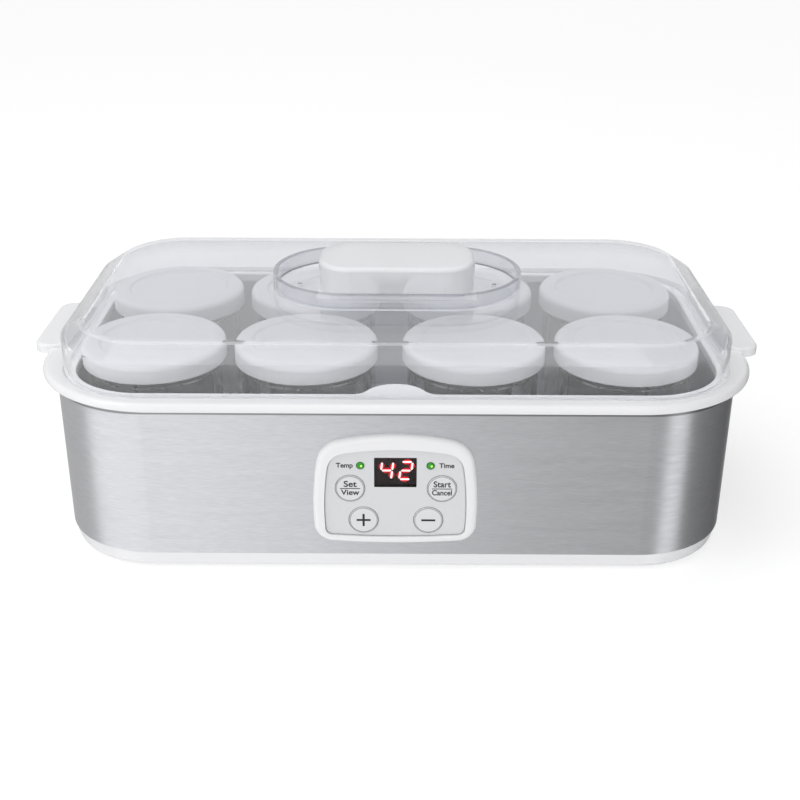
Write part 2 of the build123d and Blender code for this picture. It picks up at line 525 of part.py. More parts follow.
save(panel_bezel.part, "panel_bezel")

with BuildPart() as panel_overlay:
    add(front_slab(panel_outline(*OVERLAY), LEDGE_FRONT, OVERLAY_FRONT))
    add(front_discs(BUTTONS.values(), BUTTON_HOLE_R, LEDGE_FRONT, OVERLAY_FRONT), mode=Mode.SUBTRACT)
    add(front_discs(LEDS.values(), LED_R + 0.1, LEDGE_FRONT, OVERLAY_FRONT), mode=Mode.SUBTRACT)
    with BuildSketch(front_plane(LEDGE_FRONT)):
        with Locations((0, WINDOW_MIDDLE)):
            RectangleRounded(2 * WINDOW_X, WINDOW_TALL, WINDOW_CORNER)
    extrude(amount=OVERLAY_FRONT - LEDGE_FRONT, mode=Mode.SUBTRACT)
save(panel_overlay.part, "panel_overlay")

with BuildPart() as display_window:
    with BuildSketch(front_plane(LEDGE_FRONT + 0.1)):
        with Locations((0, WINDOW_MIDDLE)):
            rounded(WINDOW_X - WINDOW_PLAY, WINDOW_TALL / 2 - WINDOW_PLAY, WINDOW_CORNER)
    extrude(amount=WINDOW_THICK)
save(display_window.part, "display_window")

with BuildPart() as display_module:
    with BuildSketch(front_plane(BOARD_FRONT)):
        with Locations((0, WINDOW_MIDDLE)):
            Rectangle(2 * WINDOW_X - 0.8, WINDOW_TALL - 0.8)
    extrude(amount=LEDGE_FRONT - 0.4 - BOARD_FRONT)
save(display_module.part, "display_module")

for name, place in LEDS.items():
    with BuildPart() as led:
        add(front_discs([place], LED_R, BOARD_FRONT, LEDGE_FRONT + 0.6))
        with Locations((place[0], -BODY_Y - LEDGE_FRONT - 0.6, place[1])):
            Sphere(LED_R)
    save(led.part, name)

with BuildPart() as control_board:
    with BuildSketch(front_plane(BOARD_FRONT - BOARD_THICK)):
        with Locations((0, (BOARD_LOW + BOARD_HIGH) / 2)):
            RectangleRounded(2 * BOARD_X, BOARD_HIGH - BOARD_LOW, 2)
        with Locations(*BOARD_BOSSES):
            Circle(BOARD_SCREW_R + 0.25, mode=Mode.SUBTRACT)
    extrude(amount=BOARD_THICK)
save(control_board.part, "control_board")

with BuildPart() as panel_screws:
    back = BOARD_FRONT - BOARD_THICK
    add(front_discs(BOARD_BOSSES, BOARD_SCREW_HEAD_R, back - BOARD_SCREW_HEAD, back))
    add(front_discs(BOARD_BOSSES, BOARD_SCREW_R, back, BOARD_SCREW_END))
save(panel_screws.part, "panel_screws")

with BuildPart() as controller_chip:
    with BuildSketch(front_plane(BOARD_FRONT - BOARD_THICK - CHIP_THICK)):
        with Locations(CHIP_PLACE):
            Rectangle(CHIP_WIDE, CHIP_TALL)
    extrude(amount=CHIP_THICK)
save(controller_chip.part, "controller_chip")

with BuildPart() as key_switches:
    with BuildSketch(front_plane(BOARD_FRONT)):
        with Locations(*BUTTONS.values()):
            RectangleRounded(SWITCH_SIZE, SWITCH_SIZE, 0.5)
    extrude(amount=SWITCH_TOP - BOARD_FRONT)
    add(front_discs(BUTTONS.values(), PLUNGER_R, SWITCH_TOP, PLUNGER_TOP))
save(key_switches.part, "key_switches")

for name, place in BUTTONS.items():
    with BuildPart() as button:
        add(front_discs([place], BUTTON_R, FLANGE_FRONT, BUTTON_FRONT))
        fillet(button.faces().sort_by(Axis.Y)[0].edges(), 0.3)
        add(front_discs([place], BUTTON_FLANGE_R, FLANGE_BACK, FLANGE_FRONT))
        add(front_discs([place], STEM_R, STEM_END, FLANGE_BACK))
    save(button.part, name)

# ---------------------------------------------------------------- lid
# the sloped wall is as thick as the upright one, which sets where its inner face starts and ends
SLOPE = (LID_CREASE - LID_SHOULDER) / LID_SLOPE_IN
SLOPE_DROP = LID_WALL / cos(atan2(LID_CREASE - LID_SHOULDER, LID_SLOPE_IN))
INNER_TOP = LID_CREASE - LID_WALL
INNER_SHOULDER = LID_SHOULDER + LID_WALL * SLOPE - SLOPE_DROP
INNER_SLOPE_IN = (INNER_TOP - LID_SHOULDER + SLOPE_DROP) / SLOPE

with BuildPart() as lid:
    with BuildSketch(Plane.XY.offset(LID_BOTTOM)):
        rounded(LID_X, LID_Y, LID_R)
    extrude(amount=LID_SHOULDER - LID_BOTTOM)
    with BuildSketch(Plane.XY.offset(LID_SHOULDER)):
        rounded(LID_X, LID_Y, LID_R)
    with BuildSketch(Plane.XY.offset(LID_CREASE)):
        rounded(LID_X - LID_SLOPE_IN, LID_Y - LID_SLOPE_IN, LID_R - LID_SLOPE_IN)
    loft(ruled=True)
    fillet(lid.faces().sort_by(Axis.Z)[-1].edges(), CREASE_ROUND)
    # oval wall around the handle
    with BuildSketch(Plane.XY.offset(LID_CREASE - 0.5)):
        SlotOverall(2 * RING_X, 2 * RING_Y)
        SlotOverall(2 * (RING_X - RING_WALL), 2 * (RING_Y - RING_WALL), mode=Mode.SUBTRACT)
    extrude(amount=RING_TOP - LID_CREASE + 0.5)
    fillet(lid.faces().sort_by(Axis.Z)[-1].edges(), RING_ROUND)
    # hollow block that is gripped with the fingers
    with BuildSketch(Plane.XY.offset(LID_CREASE - 0.5)):
        rounded(HANDLE_X, HANDLE_Y, HANDLE_R)
    extrude(amount=HANDLE_TOP - LID_CREASE + 0.5)
    fillet(lid.faces().sort_by(Axis.Z)[-1].edges(), HANDLE_ROUND)
    # hollow inside
    with BuildSketch(Plane.XY.offset(LID_BOTTOM)):
        rounded(LID_X - LID_WALL, LID_Y - LID_WALL, LID_R - LID_WALL)
    extrude(amount=INNER_SHOULDER - LID_BOTTOM, mode=Mode.SUBTRACT)
    with BuildSketch(Plane.XY.offset(INNER_SHOULDER)):
        rounded(LID_X - LID_WALL, LID_Y - LID_WALL, LID_R - LID_WALL)
    with BuildSketch(Plane.XY.offset(INNER_TOP)):
        rounded(LID_X - INNER_SLOPE_IN, LID_Y - INNER_SLOPE_IN, LID_R - INNER_SLOPE_IN)
    loft(ruled=True, mode=Mode.SUBTRACT)
    with BuildSketch(Plane.XY.offset(INNER_TOP - 0.5)):
        rounded(HANDLE_X - LID_WALL, HANDLE_Y - LID_WALL, HANDLE_R - LID_WALL)
    extrude(amount=HANDLE_TOP - LID_WALL - INNER_TOP + 0.5, mode=Mode.SUBTRACT)
    with Locations((-VENT_X, 0, LID_CREASE), (VENT_X, 0, LID_CREASE)):
        Hole(VENT_R, 2 * LID_WALL)
save(lid.part, "lid")

# ---------------------------------------------------------------- jars and their caps
jar_number = 0
for row in JAR_ROWS:
    for column in JAR_COLUMNS:
        jar_number += 1
        upright = Plane(origin=(column, row, 0), x_dir=(1, 0, 0), z_dir=(0, -1, 0))
        spin_axis = Axis((column, row, 0), (0, 0, 1))
        with BuildPart() as jar:
            with BuildSketch(upright) as section:
                with BuildLine():
                    Polyline(
                        (0, JAR_BOTTOM + JAR_PUNT),
                        (JAR_R - 8, JAR_BOTTOM + JAR_PUNT),
                        (JAR_R - 6, JAR_BOTTOM),
                        (JAR_R, JAR_BOTTOM),
                        (JAR_R, JAR_SHOULDER),
                        (NECK_R, JAR_SHOULDER + 1.6),
                        (NECK_R, JAR_TOP),
                        (NECK_R - JAR_WALL, JAR_TOP),
                        (NECK_R - JAR_WALL, JAR_SHOULDER + 1.0),
                        (JAR_R - JAR_WALL, JAR_SHOULDER - 0.6),
                        (JAR_R - JAR_WALL, JAR_BOTTOM + JAR_FLOOR),
                        (0, JAR_BOTTOM + JAR_FLOOR),
                        close=True,
                    )
                make_face()
                heel = section.vertices().filter_by(lambda v: v.X > JAR_R - 0.1 and v.Y < JAR_BOTTOM + 1)
                fillet(heel, JAR_HEEL_ROUND)
                inside = section.vertices().filter_by(
                    lambda v: 1 < v.X < JAR_R - 1 and abs(v.Y - JAR_BOTTOM - JAR_FLOOR) < 0.1)
                fillet(inside, JAR_INNER_ROUND)
                lip = section.vertices().filter_by(lambda v: abs(v.Y - JAR_TOP) < 0.1)
                fillet(lip, JAR_LIP_ROUND)
            revolve(axis=spin_axis)
            # two thread beads that the cap grips
            for bead_drop in BEAD_DROPS:
                with BuildSketch(upright):
                    with Locations((THREAD_R - BEAD_R, JAR_TOP - bead_drop)):
                        Circle(BEAD_R)
                revolve(axis=spin_axis)
        save(jar.part, f"jar_{jar_number}")

        with BuildPart() as cap:
            with BuildSketch(upright) as section:
                with BuildLine():
                    Polyline(
                        (0, JAR_TOP + CAP_PLAY),
                        (CAP_R - CAP_WALL, JAR_TOP + CAP_PLAY),
                        (CAP_R - CAP_WALL, CAP_BOTTOM),
                        (CAP_R, CAP_BOTTOM),
                        (CAP_R, CAP_TOP),
                        (CAP_RECESS_R, CAP_TOP),
                        (CAP_RECESS_R - CAP_RECESS, CAP_TOP - CAP_RECESS),
                        (0, CAP_TOP - CAP_RECESS),
                        close=True,
                    )
                make_face()
                shoulder = section.vertices().filter_by(
                    lambda v: v.X > CAP_R - 0.1 and v.Y > CAP_TOP - 0.1)
                fillet(shoulder, CAP_EDGE_R)
                brink = section.vertices().filter_by(
                    lambda v: abs(v.X - CAP_RECESS_R) < 0.1 and v.Y > CAP_TOP - 0.1)
                fillet(brink, 0.5)
            revolve(axis=spin_axis)
        save(cap.part, f"jar_cap_{jar_number}")
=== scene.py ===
import json
import math
import bmesh
import bpy
from mathutils import Matrix, Vector


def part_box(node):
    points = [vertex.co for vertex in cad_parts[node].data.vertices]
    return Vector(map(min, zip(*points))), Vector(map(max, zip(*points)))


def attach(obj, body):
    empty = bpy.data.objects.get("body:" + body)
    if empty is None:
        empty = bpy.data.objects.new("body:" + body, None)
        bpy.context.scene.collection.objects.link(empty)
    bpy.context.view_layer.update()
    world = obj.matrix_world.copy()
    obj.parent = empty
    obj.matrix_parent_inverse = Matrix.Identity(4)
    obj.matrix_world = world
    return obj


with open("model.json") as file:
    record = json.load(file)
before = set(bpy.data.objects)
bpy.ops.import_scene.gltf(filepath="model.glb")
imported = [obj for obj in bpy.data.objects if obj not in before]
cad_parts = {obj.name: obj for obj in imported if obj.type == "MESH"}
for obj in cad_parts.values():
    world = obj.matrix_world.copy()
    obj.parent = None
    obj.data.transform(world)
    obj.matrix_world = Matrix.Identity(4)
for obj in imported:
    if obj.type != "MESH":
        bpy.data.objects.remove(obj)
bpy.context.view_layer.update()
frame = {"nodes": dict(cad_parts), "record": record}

MM = 0.001


def new_object(name, data):
    """A new object in the scene that holds a mesh, a camera, a lamp or a text."""
    made = bpy.data.objects.new(name, data)
    bpy.context.collection.objects.link(made)
    return made


# ---------------------------------------------------------------- camera
# sensor width and lens in millimetres, angles in radians, place in metres
SENSOR_WIDTH, LENS = 36.0, 55.1
PITCH, YAW, ROLL = math.radians(25.0), math.radians(0.08), math.radians(0.25)
CAMERA_PLACE = (0.0026, -0.5766, 0.3151)


def add_camera():
    """The photograph's viewpoint."""
    data = bpy.data.cameras.new("camera")
    data.sensor_width = SENSOR_WIDTH
    data.lens = LENS
    data.clip_start = 0.01
    data.dof.use_dof = False
    camera = new_object("camera", data)
    aim = Matrix.Rotation(YAW, 4, "Z") @ Matrix.Rotation(math.pi / 2 - PITCH, 4, "X")
    camera.matrix_world = Matrix.Translation(CAMERA_PLACE) @ aim @ Matrix.Rotation(ROLL, 4, "Z")
    bpy.context.scene.camera = camera


# ---------------------------------------------------------------- material helpers
# the part of its 0 to 1 range that noise mostly fills
NOISE_LOW, NOISE_HIGH = 0.3, 0.7


def new_material(name):
    """A new material with its nodes, its links and its main shader."""
    material = bpy.data.materials.new(name)
    material.use_nodes = True
    nodes = material.node_tree.nodes
    return material, nodes, material.node_tree.links, nodes["Principled BSDF"]


def noise(nodes, links, scale, stretch=(1, 1, 1), detail=3.0):
    """Procedural noise in the object's own metres, optionally stretched along an axis."""
    where = nodes.new("ShaderNodeTexCoord")
    mapping = nodes.new("ShaderNodeMapping")
    mapping.inputs["Scale"].default_value = stretch
    texture = nodes.new("ShaderNodeTexNoise")
    texture.inputs["Scale"].default_value = scale
    texture.inputs["Detail"].default_value = detail
    links.new(where.outputs["Object"], mapping.inputs["Vector"])
    links.new(mapping.outputs["Vector"], texture.inputs["Vector"])
    return texture.outputs["Fac"]


def place(nodes, links, space="Object"):
    """The point's own x, y and z, in the object's metres unless another space is named."""
    where = nodes.new("ShaderNodeTexCoord")
    split = nodes.new("ShaderNodeSeparateXYZ")
    links.new(where.outputs[space], split.inputs["Vector"])
    return split.outputs


def between(nodes, links, value, low, high, to_low=0.0, to_high=1.0):
    """A value's run from one end to the other, held at the ends."""
    ramp = nodes.new("ShaderNodeMapRange")
    links.new(value, ramp.inputs["Value"])
    for name, end in (("From Min", low), ("From Max", high), ("To Min", to_low), ("To Max", to_high)):
        ramp.inputs[name].default_value = end
    return ramp.outputs["Result"]


def calculate(nodes, links, operation, first, second=0.0):
    """One step of arithmetic on a linked value and a linked value or a number."""
    step = nodes.new("ShaderNodeMath")
    step.operation = operation
    links.new(first, step.inputs[0])
    if isinstance(second, float):
        step.inputs[1].default_value = second
    else:
        links.new(second, step.inputs[1])
    return step.outputs["Value"]


def within(nodes, links, value, half):
    """1 where a value lies closer to 0 than a number, and 0 elsewhere."""
    return calculate(nodes, links, "LESS_THAN", calculate(nodes, links, "ABSOLUTE", value), half)


def blend(nodes, links, factor, first, second):
    """A colour between a first one and a second one, each linked or given as three numbers."""
    mix = nodes.new("ShaderNodeMix")
    mix.data_type = "RGBA"
    links.new(factor, mix.inputs["Factor"])
    for socket, colour in ((mix.inputs["A"], first), (mix.inputs["B"], second)):
        if isinstance(colour, tuple):
            socket.default_value = (*colour, 1)
        else:
            links.new(colour, socket)
    return mix.outputs["Result"]


def vary_colour(nodes, links, factor, colour, spread):
    """A colour that swings a little either side of its mean."""
    darker = tuple(c * (1 - spread) for c in colour)
    lighter = tuple(min(1, c * (1 + spread)) for c in colour)
    return blend(nodes, links, factor, darker, lighter)


def vary_value(nodes, links, factor, low, high):
    """A value that swings from a low end to a high end with noise."""
    return between(nodes, links, factor, NOISE_LOW, NOISE_HIGH, low, high)


def add_bump(nodes, links, shader, factor, strength, distance):
    """Shades the surface as if noise raised it by up to a distance in metres."""
    bump = nodes.new("ShaderNodeBump")
    bump.inputs["Strength"].default_value = strength
    bump.inputs["Distance"].default_value = distance
    links.new(factor, bump.inputs["Height"])
    links.new(bump.outputs["Normal"], shader.inputs["Normal"])


# ---------------------------------------------------------------- materials
# how many times broader than its grain a moulding's variation in colour is
BROADER = 25
# noise per metre: a clear piece's ripples and the variation in its tint and gloss, and a lit piece's grain
RIPPLES, CLOUDS, GLOW_GRAIN = 60, 25, 1500


def moulded(name, colour, rough, grain=900, depth=0.02 * MM, spread=0.02, gloss_spread=0.04, coat=0.0,
            metallic=0.0, stretch=(1, 1, 1)):
    """Moulded, painted or pressed material: a fine grain in gloss and height, a broad one in colour."""
    material, nodes, links, shader = new_material(name)
    fine = noise(nodes, links, grain, stretch)
    broad = noise(nodes, links, grain / BROADER, stretch)
    links.new(vary_colour(nodes, links, broad, colour, spread), shader.inputs["Base Color"])
    gloss = vary_value(nodes, links, fine, rough * (1 - gloss_spread), rough * (1 + gloss_spread))
    links.new(gloss, shader.inputs["Roughness"])
    add_bump(nodes, links, shader, fine, strength=0.25, distance=depth)
    shader.inputs["Metallic"].default_value = metallic
    shader.inputs["Coat Weight"].default_value = coat
    shader.inputs["Coat Roughness"].default_value = 0.08
    return material


def clear(name, tint, rough, ior, passes=0.93, coat=0.0):
    """Glass or clear plastic with faint ripples, whose shadow lets part of the light through."""
    material, nodes, links, shader = new_material(name)
    ripple = noise(nodes, links, RIPPLES)
    cloud = noise(nodes, links, CLOUDS)
    links.new(vary_colour(nodes, links, cloud, tint, spread=0.01), shader.inputs["Base Color"])
    links.new(vary_value(nodes, links, cloud, rough * 0.7, rough * 1.3), shader.inputs["Roughness"])
    add_bump(nodes, links, shader, ripple, strength=0.1, distance=0.005 * MM)
    shader.inputs["Transmission Weight"].default_value = 1.0
    shader.inputs["IOR"].default_value = ior
    shader.inputs["Coat Weight"].default_value = coat
    shader.inputs["Coat Roughness"].default_value = rough
    lamp_path = nodes.new("ShaderNodeLightPath")
    through = nodes.new("ShaderNodeBsdfTransparent")
    through.inputs["Color"].default_value = (passes, passes, passes, 1)
    mix = nodes.new("ShaderNodeMixShader")
    links.new(lamp_path.outputs["Is Shadow Ray"], mix.inputs["Fac"])
    links.new(shader.outputs["BSDF"], mix.inputs[1])
    links.new(through.outputs["BSDF"], mix.inputs[2])
    links.new(mix.outputs["Shader"], nodes["Material Output"].inputs["Surface"])
    return material


# heights above the table: where the lid's milky top begins and is full, then the three painted lines across
# it, a highlight at the crease and shade at the oval's foot and edge
MILK_FROM, MILK_FULL = 97 * MM, 105 * MM
CREASE_Z, OVAL_FOOT_Z, OVAL_EDGE_Z = 109.0 * MM, 110.6 * MM, 117.7 * MM
# how far each painted line reaches up and down
CREASE_REACH, OVAL_FOOT_REACH, OVAL_EDGE_REACH = 0.6 * MM, 0.5 * MM, 0.6 * MM
HANDLE_HALF_X, HANDLE_HALF_Y = 38.6 * MM, 22.0 * MM
LID_TINT, TOP_TINT, HANDLE_TINT = (0.95, 0.955, 0.965), (0.81, 0.817, 0.842), (0.87, 0.875, 0.89)
# painted shade: dark lines at the oval's foot and top edge, standing in for the dark refraction there
OVAL_FOOT_PAINTED_SHADE, OVAL_EDGE_PAINTED_SHADE = (0.62, 0.63, 0.68), (0.42, 0.43, 0.47)
# milkiness from 0 to 1 of the walls and of the top, and what the handle and the crease add to it; at the
# crease it is a painted highlight line
WALL_HAZE, TOP_HAZE, HANDLE_HAZE, CREASE_PAINTED_HIGHLIGHT = 0.03, 0.10, 0.42, 0.24


def clear_lid():
    """Clear plastic: plain at the foot, a little milky over the top, frosted on the handle, with a painted
    highlight along the crease and painted shade lines at the oval's foot and edge.
    """
    material = clear("clear_lid", LID_TINT, rough=0.03, ior=1.055, coat=1.0)
    nodes, links = material.node_tree.nodes, material.node_tree.links
    shader = nodes["Principled BSDF"]
    x, y, z = place(nodes, links)

    def near(height, reach):
        """1 close to a height, falling to 0 at a reach either side of it."""
        off = calculate(nodes, links, "ABSOLUTE", calculate(nodes, links, "SUBTRACT", z, height))
        return between(nodes, links, off, reach * 0.5, reach, 1.0, 0.0)

    handle_x = within(nodes, links, x, HANDLE_HALF_X)
    handle_y = within(nodes, links, y, HANDLE_HALF_Y)
    handle = calculate(nodes, links, "MULTIPLY", handle_x, handle_y)
    top = between(nodes, links, z, MILK_FROM, MILK_FULL)
    plain = shader.inputs["Base Color"].links[0].from_socket
    tint = blend(nodes, links, top, plain, TOP_TINT)
    # painted shade lines at the oval's foot and top edge
    tint = blend(nodes, links, near(OVAL_FOOT_Z, OVAL_FOOT_REACH), tint, OVAL_FOOT_PAINTED_SHADE)
    tint = blend(nodes, links, near(OVAL_EDGE_Z, OVAL_EDGE_REACH), tint, OVAL_EDGE_PAINTED_SHADE)
    links.new(blend(nodes, links, handle, tint, HANDLE_TINT), shader.inputs["Base Color"])
    haze = between(nodes, links, top, 0.0, 1.0, WALL_HAZE, TOP_HAZE)
    # the milky line along the crease is a painted highlight
    for area, milk in ((handle, HANDLE_HAZE), (near(CREASE_Z, CREASE_REACH), CREASE_PAINTED_HIGHLIGHT)):
        haze = calculate(nodes, links, "ADD", haze, calculate(nodes, links, "MULTIPLY", area, milk))
    links.new(between(nodes, links, haze, 0.0, 1.0, 1.0, 0.0), shader.inputs["Transmission Weight"])
    return material


# noise per metre along the brushing and across it, for the fine lines and for the broader bands
LINES_ALONG, LINES_ACROSS = 170, 2600
BANDS_ALONG, BANDS_ACROSS = 25, LINES_ACROSS / 6
# painted shadow under the rim, along the steel's top edge: where it begins, how soon it is full, and how
# dark it gets
RIM_SHADOW_FROM, RIM_SHADOW_DEEP, RIM_SHADOW_TONE = 79.9 * MM, 0.5 * MM, 0.45


def brushed(name, colour, rough):
    """Sheet metal brushed around the body, with a painted shadow under the rim along its top edge."""
    material, nodes, links, shader = new_material(name)
    lines = noise(nodes, links, 1.0, (LINES_ALONG, LINES_ALONG, LINES_ACROSS), detail=4.0)
    bands = noise(nodes, links, 1.0, (BANDS_ALONG, BANDS_ALONG, BANDS_ACROSS), detail=2.0)
    streaks = vary_colour(nodes, links, lines, colour, spread=0.16)
    # painted shadow: the colour darkens towards the top edge, where the rim overhangs the steel
    rim_shadow = between(nodes, links, place(nodes, links)["Z"], RIM_SHADOW_FROM, RIM_SHADOW_FROM + RIM_SHADOW_DEEP)
    dark = tuple(c * RIM_SHADOW_TONE for c in colour)
    links.new(blend(nodes, links, rim_shadow, streaks, dark), shader.inputs["Base Color"])
    links.new(vary_value(nodes, links, bands, rough * 0.85, rough * 1.15), shader.inputs["Roughness"])
    add_bump(nodes, links, shader, lines, strength=0.12, distance=0.02 * MM)
    shader.inputs["Metallic"].default_value = 1.0
    shader.inputs["Anisotropic"].default_value = 0.8
    shader.inputs["Anisotropic Rotation"].default_value = 0.25
    tangent = nodes.new("ShaderNodeTangent")
    tangent.direction_type = "RADIAL"
    tangent.axis = "Z"
    links.new(tangent.outputs["Tangent"], shader.inputs["Tangent"])
    return material


def glowing(name, colour, strength):
    """A lit plastic surface."""
    material, nodes, links, shader = new_material(name)
    fine = noise(nodes, links, GLOW_GRAIN)
    tone = vary_colour(nodes, links, fine, colour, spread=0.1)
    links.new(tone, shader.inputs["Base Color"])
    links.new(tone, shader.inputs["Emission Color"])
    shader.inputs["Emission Strength"].default_value = strength
    shader.inputs["Roughness"].default_value = 0.3
    add_bump(nodes, links, shader, fine, strength=0.2, distance=0.02 * MM)
    return material


WHITE, CAP_WHITE = (0.80, 0.802, 0.815), (0.66, 0.662, 0.675)
PANEL_GREY, KEY_GREY = (0.66, 0.665, 0.68), (0.69, 0.695, 0.71)
FELT, MAT_RED, TANK_TONE = (0.80, 0.77, 0.70), (0.50, 0.12, 0.05), (0.64, 0.66, 0.705)
MATERIALS = {
    "white_gloss": moulded("white_gloss", WHITE, 0.22, coat=0.35, spread=0.008, depth=0.008 * MM),
    "inner_plastic": moulded("inner_plastic", (0.80, 0.81, 0.82), 0.45),
    "brushed_steel": brushed("brushed_steel", (0.665, 0.67, 0.695), 0.36),
    "tank_metal": moulded("tank_metal", TANK_TONE, 0.38, grain=500, metallic=0.8, spread=0.04),
    "foot_rubber": moulded("foot_rubber", (0.70, 0.70, 0.70), 0.7),
    "foil_label": moulded("foil_label", (0.78, 0.78, 0.79), 0.38, metallic=1.0),
    "plated_steel": moulded("plated_steel", (0.70, 0.70, 0.72), 0.28, metallic=1.0, spread=0.05),
    "clear_silicone": moulded("clear_silicone", (0.80, 0.81, 0.81), 0.4),
    "heater_rubber": moulded("heater_rubber", MAT_RED, 0.55, grain=600, depth=0.05 * MM, spread=0.08),
    "insulation_felt": moulded("insulation_felt", FELT, 0.9, grain=700, depth=0.3 * MM, spread=0.12),
    "component_metal": moulded("component_metal", (0.66, 0.66, 0.67), 0.32, metallic=1.0, spread=0.05),
    "circuit_board": moulded("circuit_board", (0.02, 0.16, 0.07), 0.35, grain=500, spread=0.15, coat=0.3),
    "component_yellow": moulded("component_yellow", (0.72, 0.50, 0.05), 0.4, spread=0.06),
    "component_blue": moulded("component_blue", (0.03, 0.10, 0.40), 0.35, spread=0.05),
    "component_dark": moulded("component_dark", (0.025, 0.025, 0.028), 0.4, spread=0.2),
    "component_white": moulded("component_white", (0.75, 0.75, 0.72), 0.45),
    "fuse_glass": clear("fuse_glass", (0.90, 0.94, 0.93), 0.03, 1.50),
    "lead_insulation": moulded("lead_insulation", (0.62, 0.62, 0.58), 0.55),
    "ribbon_insulation": moulded("ribbon_insulation", (0.45, 0.45, 0.47), 0.45, stretch=(3, 1, 1)),
    "gland_rubber": moulded("gland_rubber", (0.80, 0.80, 0.81), 0.45),
    "panel_grey": moulded("panel_grey", PANEL_GREY, 0.38, grain=1500, depth=0.01 * MM, spread=0.01),
    "smoked_window": clear("smoked_window", (0.85, 0.80, 0.80), 0.02, 1.15, passes=0.6),
    "display_black": moulded("display_black", (0.006, 0.002, 0.002), 0.6, spread=0.2),
    "green_lens": glowing("green_lens", (0.012, 0.20, 0.008), 0.5),
    "button_grey": moulded("button_grey", KEY_GREY, 0.36, grain=1500, depth=0.01 * MM, spread=0.01),
    "clear_lid": clear_lid(),
    "jar_glass": clear("jar_glass", (0.97, 0.98, 0.98), 0.015, 1.5, passes=0.94),
    "cap_plastic": moulded(
        "cap_plastic", CAP_WHITE, 0.42, spread=0.01, gloss_spread=0.01, depth=0.001 * MM
    ),
}


def dress_frame():
    """Gives every carried-over CAD node the material of its slot."""
    for row in frame["record"]["subparts"]:
        node = frame["nodes"][row["node"]]
        node.data.materials.clear()
        node.data.materials.append(MATERIALS[row["material_slot"]])


# ---------------------------------------------------------------- small printed and lit details
INK = moulded("ink", (0.012, 0.012, 0.015), 0.45, spread=0.3)
GREY_INK = moulded("grey_ink", (0.33, 0.35, 0.36), 0.4, spread=0.1)
GREEN_DARK = moulded("green_dark", (0.012, 0.09, 0.015), 0.3, spread=0.1)
LAMP_SPOT = glowing("lamp_spot", (0.45, 1.0, 0.12), 0.9)
# thickness of a print, how far its front stands before its face, and how much its letters are fattened
INK_THICK, INK_OUT, INK_BOLD = 0.03 * MM, 0.027 * MM, 0.09 * MM
KEY_RING_R, KEY_RING_WIDTH = 5.98 * MM, 0.42 * MM
LAMP_RING_R, LAMP_RING_WIDTH = 1.62 * MM, 0.3 * MM
# a lamp's bright spot: how far right of and above the lamp's middle and before its front, then its sizes
SPOT_RIGHT, SPOT_UP, SPOT_OUT = 0.45 * MM, 0.35 * MM, 0.02 * MM
SPOT_HOLE_R, SPOT_WIDTH, SPOT_THICK = 0.02 * MM, 0.42 * MM, 0.3 * MM
# half the length and half the width of the line between a key's words, and of a bar of a sign
RULE_LONG, RULE_WIDE = 4.6 * MM, 0.2 * MM
SIGN_LONG, SIGN_WIDE = 3.2 * MM, 0.5 * MM
# how far the second bar of the plus sign stands before the first
SIGN_STEP = 0.002 * MM
# the two rows of words on a key: name, distance above the key's middle, and size of the letters
KEY_ROWS = (("upper", 2.2 * MM, 4.3 * MM), ("lower", -2.1 * MM, 3.8 * MM))
# each key's word for each row, with its width
KEY_WORDS = {
    "set_button": (("Set", 5.9 * MM), ("View", 8.4 * MM)),
    "start_button": (("Start", 7.9 * MM), ("Cancel", 9.0 * MM)),
}
# each lamp's word, with its distance to the right of the lamp and its width
LAMP_WORDS = {
    "temp_led": ("Temp", -7.1 * MM, 7.6 * MM),
    "time_led": ("Time", 7.3 * MM, 6.8 * MM),
}
LAMP_LETTERS = 3.3 * MM


def finish_piece(name, mesh, material, body):
    """Puts a printed or lit mesh into the scene, on the body that carries it and in its material slot."""
    piece = new_object(name, mesh)
    mesh.materials.clear()
    mesh.materials.append(material)
    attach(piece, body)


def mesh_of(name, shape):
    """The mesh of a working shape, which is then let go."""
    mesh = bpy.data.meshes.new(name)
    shape.to_mesh(mesh)
    shape.free()
    return mesh


def face_middle(low, high):
    """The middle of a box in x and in z, from its two corners."""
    return (low[0] + high[0]) / 2, (low[2] + high[2]) / 2


def plate(outline, y_front, thick):
    """A flat plate upright before the user: its outline in (x, z), its front face at y, all in metres."""
    shape = bmesh.new()
    back = [shape.verts.new((x, y_front + thick, z)) for x, z in outline]
    front = [shape.verts.new((x, y_front, z)) for x, z in outline]
    shape.faces.new(front)
    shape.faces.new(back[::-1])
    for i in range(len(outline)):
        j = (i + 1) % len(outline)
        shape.faces.new((front[j], front[i], back[i], back[j]))
    bmesh.ops.recalc_face_normals(shape, faces=shape.faces)
    return mesh_of("plate", shape)


def ring(centre_x, centre_z, radius, width, y_front, thick, steps=64):
    """A flat ring upright before the user, of an inner radius and a width."""
    shape = bmesh.new()
    loops = []
    outer, y_back = radius + width, y_front + thick
    for r, y in ((radius, y_front), (outer, y_front), (outer, y_back), (radius, y_back)):
        loops.append([
            shape.verts.new((centre_x + r * math.cos(a), y, centre_z + r * math.sin(a)))
            for a in (2 * math.pi * k / steps for k in range(steps))
        ])
    for a, b in zip(loops, loops[1:] + loops[:1]):
        for k in range(steps):
            shape.faces.new((a[k], a[(k + 1) % steps], b[(k + 1) % steps], b[k]))
    bmesh.ops.recalc_face_normals(shape, faces=shape.faces)
    return mesh_of("ring", shape)


